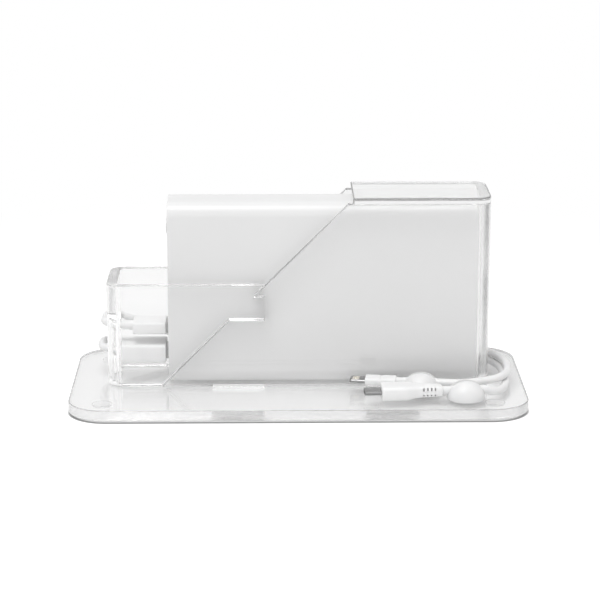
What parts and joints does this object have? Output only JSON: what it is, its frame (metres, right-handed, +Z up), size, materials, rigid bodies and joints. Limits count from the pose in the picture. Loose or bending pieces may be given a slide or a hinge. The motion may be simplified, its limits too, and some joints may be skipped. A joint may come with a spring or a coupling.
{
  "type": "phone charging stand",
  "caption": "Clear tray and cover holding a white power bank on edge, with a locking end guard over the USB plugs and charging leads kept ready in dome clips.",
  "frame": {"origin": "middle of the tray, on the surface that its feet stand on", "axes": "+X to the right along the tray, +Y from the front to the back, +Z up"},
  "size_m": [0.204, 0.099, 0.0922],
  "materials": {
    "clear_sheet": "clear cast acrylic, polished edges",
    "clear_foot": "clear soft bumper",
    "case_white": "satin white",
    "cap_white": "fine satin",
    "plug_white": "smooth satin moulding",
    "lead_white": "smooth satin jacket",
    "clip_white": "milky silicone",
    "pad_tape": "adhesive foam",
    "shell_metal": "nickel plated",
    "screw_steel": "zinc plated",
    "contact_gold": "plated contacts",
    "board_green": "solder mask",
    "led_body": "clear resin",
    "pipe_clear": "polished",
    "switch_black": "moulded",
    "core_plastic": "moulded",
    "core_dark": "moulded",
    "cell_foil": "laminated foil",
    "tape_amber": "film",
    "foam_grey": "soft foam"
  },
  "bodies": {
    "stand": {"tray": "clear_sheet", "feet": "clear_foot", "cover_walls": "clear_sheet", "cover_top": "clear_sheet", "bank_case": "case_white", "bank_port_cap": "cap_white", "bank_end_cap": "cap_white", "cap_screws": "screw_steel", "circuit_board": "board_green", "board_screws": "screw_steel", "status_leds": "led_body", "light_pipes": "pipe_clear", "button_switch": "switch_black", "usb_socket_upper": "shell_metal", "usb_socket_lower": "shell_metal", "socket_tongues": "core_plastic", "charge_inlet": "shell_metal", "cell_front": "cell_foil", "cell_back": "cell_foil", "cell_tape": "tape_amber", "cell_foam": "foam_grey", "cell_tabs": "shell_metal", "lead_upper": "lead_white", "lead_lower": "lead_white", "front_clip": "clip_white", "rear_clip": "clip_white", "clip_pads": "pad_tape", "flat_plug": "plug_white", "flat_plug_tip": "shell_metal", "flat_plug_contacts": "contact_gold", "micro_plug": "plug_white", "micro_plug_shell": "shell_metal", "micro_plug_insulator": "core_dark"},
    "guard": {"end_guard": "clear_sheet", "usb_plug_upper": "plug_white", "usb_plug_upper_shell": "shell_metal", "usb_plug_lower": "plug_white", "usb_plug_lower_shell": "shell_metal", "usb_plug_insulators": "core_plastic"},
    "button": {"power_button": "cap_white"}
  },
  "joints": [
    {"name": "guard_slide", "type": "slide", "parent": "stand", "child": "guard", "axis": [-1, 0, 0], "range_m": [0, 0.018], "deforming": ["lead_upper", "lead_lower"]},
    {"name": "button_press", "type": "slide", "parent": "stand", "child": "button", "axis": [1, 0, 0], "range_m": [0, 0.0006], "stiffness_N_per_m": 500}
  ]
}
